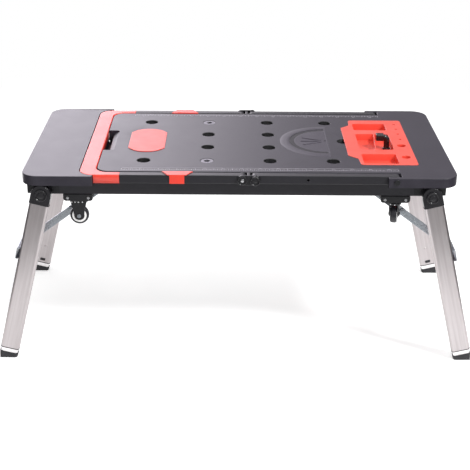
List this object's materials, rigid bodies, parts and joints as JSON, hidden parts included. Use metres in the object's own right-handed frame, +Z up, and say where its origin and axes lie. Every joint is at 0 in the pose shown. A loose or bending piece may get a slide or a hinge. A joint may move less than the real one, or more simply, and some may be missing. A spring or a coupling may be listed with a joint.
{
  "type": "multifunction folding workbench",
  "caption": "Low folding workbench with a dog-hole deck, fold-up U handle, telescopic splayed legs, corner casters and a lift-out tool tray.",
  "frame": {"origin": "on the floor, midway between the four feet", "axes": "+X along the deck to the tool tray end, +Z up, the front long side faces -Y"},
  "size_m": [1.3442, 0.6106, 0.5815],
  "materials": {
    "moulded_black": "moulded, fine texture",
    "moulded_red": "moulded, satin",
    "tray_red": "moulded, satin",
    "plate_red": "bare moulded plate",
    "tube_black": "powder coated tube",
    "frame_black": "powder coated steel",
    "leg_aluminium": "extruded, satin anodised",
    "zinc_steel": "bright zinc plated",
    "black_rubber": "matt rubber",
    "caster_black": "moulded wheel",
    "hub_black": "moulded hub"
  },
  "bodies": {
    "root": {"deck_panel": "moulded_black", "left_end_panel": "moulded_black", "deck_plate": "plate_red", "clamp_inserts": "zinc_steel", "handle_pivot_bolts": "zinc_steel", "lower_rail_front": "tube_black", "lower_rail_rear": "tube_black", "leg_mount_left": "frame_black", "leg_mount_right": "frame_black", "brace_anchor_left": "frame_black", "brace_anchor_right": "frame_black", "leg_pivot_knobs": "hub_black", "panel_screws": "zinc_steel", "caster_mounts": "frame_black", "caster_bolts": "zinc_steel", "rigid_forks": "frame_black", "rigid_axles": "zinc_steel", "swivel_heads": "frame_black"},
    "handle_arms": {"handle_arm_front": "tube_black", "handle_arm_rear": "tube_black"},
    "hinge_links": {"hinge_link_front": "frame_black", "hinge_link_rear": "frame_black", "hinge_pins": "zinc_steel"},
    "handle_loop": {"handle_tube_front": "tube_black", "handle_tube_rear": "tube_black", "handle_grip": "moulded_red", "latch_clip_front": "moulded_red", "latch_clip_rear": "moulded_red"},
    "tray": {"tool_tray": "tray_red"},
    "dog": {"bench_dog": "black_rubber"},
    "left_legs": {"left_leg_tube_front": "leg_aluminium", "left_leg_tube_rear": "leg_aluminium", "left_hub_caps": "hub_black", "left_crossbar": "zinc_steel"},
    "left_brace_upper": {"left_brace_upper": "zinc_steel"},
    "left_brace_lower": {"left_brace_lower": "zinc_steel"},
    "left_inner_leg_front": {"left_inner_leg_front": "leg_aluminium", "left_foot_front": "black_rubber"},
    "left_leg_button_front": {"left_leg_button_front": "black_rubber"},
    "left_inner_leg_rear": {"left_inner_leg_rear": "leg_aluminium", "left_foot_rear": "black_rubber"},
    "left_leg_button_rear": {"left_leg_button_rear": "black_rubber"},
    "right_legs": {"right_leg_tube_front": "leg_aluminium", "right_leg_tube_rear": "leg_aluminium", "right_hub_caps": "hub_black", "right_crossbar": "zinc_steel"},
    "right_brace_upper": {"right_brace_upper": "zinc_steel"},
    "right_brace_lower": {"right_brace_lower": "zinc_steel"},
    "right_inner_leg_front": {"right_inner_leg_front": "leg_aluminium", "right_foot_front": "black_rubber"},
    "right_leg_button_front": {"right_leg_button_front": "black_rubber"},
    "right_inner_leg_rear": {"right_inner_leg_rear": "leg_aluminium", "right_foot_rear": "black_rubber"},
    "right_leg_button_rear": {"right_leg_button_rear": "black_rubber"},
    "rigid_wheel_front": {"rigid_wheel_front": "caster_black"},
    "swivel_fork_front": {"swivel_fork_front": "frame_black"},
    "swivel_wheel_front": {"swivel_wheel_front": "caster_black"},
    "rigid_wheel_rear": {"rigid_wheel_rear": "caster_black"},
    "swivel_fork_rear": {"swivel_fork_rear": "frame_black"},
    "swivel_wheel_rear": {"swivel_wheel_rear": "caster_black"}
  },
  "joints": [
    {"name": "handle_swing", "type": "hinge", "parent": "root", "child": "handle_arms", "pos_m": [0.4265, 0, 0.54315], "axis": [0, 1, 0], "range_deg": [0, 90]},
    {"name": "hinge_link_turn", "type": "hinge", "parent": "handle_arms", "child": "hinge_links", "pos_m": [0.0485, 0, 0.54315], "axis": [0, -1, 0], "range_deg": [-90, 0]},
    {"name": "handle_loop_turn", "type": "hinge", "parent": "hinge_links", "child": "handle_loop", "pos_m": [0.0145, 0, 0.54315], "axis": [0, -1, 0], "range_deg": [-90, 0]},
    {"name": "tray_lift", "type": "slide", "parent": "root", "child": "tray", "axis": [0, 0, 1], "range_m": [0, 0.06]},
    {"name": "dog_lift", "type": "slide", "parent": "tray", "child": "dog", "axis": [0, 0, 1], "range_m": [0, 0.06]},
    {"name": "left_leg_fold", "type": "hinge", "parent": "root", "child": "left_legs", "pos_m": [-0.5245, 0, 0.5], "axis": [0, -1, 0], "range_deg": [0, 104.2]},
    {"name": "left_brace_upper_turn", "type": "hinge", "parent": "root", "child": "left_brace_upper", "pos_m": [-0.3475, 0, 0.503], "axis": [0, -1, 0], "range_deg": [-29.14, 0]},
    {"name": "left_brace_lower_turn", "type": "hinge", "parent": "left_legs", "child": "left_brace_lower", "pos_m": [-0.57955, 0, 0.33135], "axis": [0, -1, 0], "range_deg": [0, 40.79]},
    {"name": "left_front_leg_extend", "type": "slide", "parent": "left_legs", "child": "left_inner_leg_front", "axis": [0.2453, 0, 0.9694], "range_m": [-0.25, 0]},
    {"name": "left_front_button_press", "type": "slide", "parent": "left_legs", "child": "left_leg_button_front", "axis": [0, -1, 0], "range_m": [0, 0.0015], "stiffness_N_per_m": 400, "springref_m": -0.0005},
    {"name": "left_rear_leg_extend", "type": "slide", "parent": "left_legs", "child": "left_inner_leg_rear", "axis": [0.2453, 0, 0.9694], "range_m": [-0.25, 0]},
    {"name": "left_rear_button_press", "type": "slide", "parent": "left_legs", "child": "left_leg_button_rear", "axis": [0, 1, 0], "range_m": [0, 0.0015], "stiffness_N_per_m": 400, "springref_m": -0.0005},
    {"name": "right_leg_fold", "type": "hinge", "parent": "root", "child": "right_legs", "pos_m": [0.5245, 0, 0.5], "axis": [0, 1, 0], "range_deg": [0, 104.2]},
    {"name": "right_brace_upper_turn", "type": "hinge", "parent": "root", "child": "right_brace_upper", "pos_m": [0.3475, 0, 0.503], "axis": [0, 1, 0], "range_deg": [-29.14, 0]},
    {"name": "right_brace_lower_turn", "type": "hinge", "parent": "right_legs", "child": "right_brace_lower", "pos_m": [0.57955, 0, 0.33135], "axis": [0, 1, 0], "range_deg": [0, 40.79]},
    {"name": "right_front_leg_extend", "type": "slide", "parent": "right_legs", "child": "right_inner_leg_front", "axis": [-0.2453, 0, 0.9694], "range_m": [-0.25, 0]},
    {"name": "right_front_button_press", "type": "slide", "parent": "right_legs", "child": "right_leg_button_front", "axis": [0, -1, 0], "range_m": [0, 0.0015], "stiffness_N_per_m": 400, "springref_m": -0.0005},
    {"name": "right_rear_leg_extend", "type": "slide", "parent": "right_legs", "child": "right_inner_leg_rear", "axis": [-0.2453, 0, 0.9694], "range_m": [-0.25, 0]},
    {"name": "right_rear_button_press", "type": "slide", "parent": "right_legs", "child": "right_leg_button_rear", "axis": [0, 1, 0], "range_m": [0, 0.0015], "stiffness_N_per_m": 400, "springref_m": -0.0005},
    {"name": "rigid_front_wheel_spin", "type": "hinge", "parent": "root", "child": "rigid_wheel_front", "pos_m": [-0.4295, -0.252, 0.427], "axis": [0, 1, 0], "continuous": true},
    {"name": "swivel_front_turn", "type": "hinge", "parent": "root", "child": "swivel_fork_front", "pos_m": [0.4295, -0.252, 0.427], "axis": [0, 0, 1], "continuous": true},
    {"name": "swivel_front_wheel_spin", "type": "hinge", "parent": "swivel_fork_front", "child": "swivel_wheel_front", "pos_m": [0.43481, -0.2322, 0.427], "axis": [0.9659, -0.2588, 0], "continuous": true},
    {"name": "rigid_rear_wheel_spin", "type": "hinge", "parent": "root", "child": "rigid_wheel_rear", "pos_m": [-0.4295, 0.252, 0.427], "axis": [0, 1, 0], "continuous": true},
    {"name": "swivel_rear_turn", "type": "hinge", "parent": "root", "child": "swivel_fork_rear", "pos_m": [0.4295, 0.252, 0.427], "axis": [0, 0, 1], "continuous": true},
    {"name": "swivel_rear_wheel_spin", "type": "hinge", "parent": "swivel_fork_rear", "child": "swivel_wheel_rear", "pos_m": [0.43481, 0.2322, 0.427], "axis": [0.9659, 0.2588, 0], "continuous": true}
  ],
  "couplings": [
    {"joint": "left_brace_upper_turn", "follows": "left_leg_fold", "ratio": -0.27938},
    {"joint": "left_brace_lower_turn", "follows": "left_leg_fold", "ratio": 0.39106},
    {"joint": "right_brace_upper_turn", "follows": "right_leg_fold", "ratio": -0.27938},
    {"joint": "right_brace_lower_turn", "follows": "right_leg_fold", "ratio": 0.39106},
    {"joint": "hinge_link_turn", "follows": "handle_loop_turn", "ratio": 1}
  ]
}
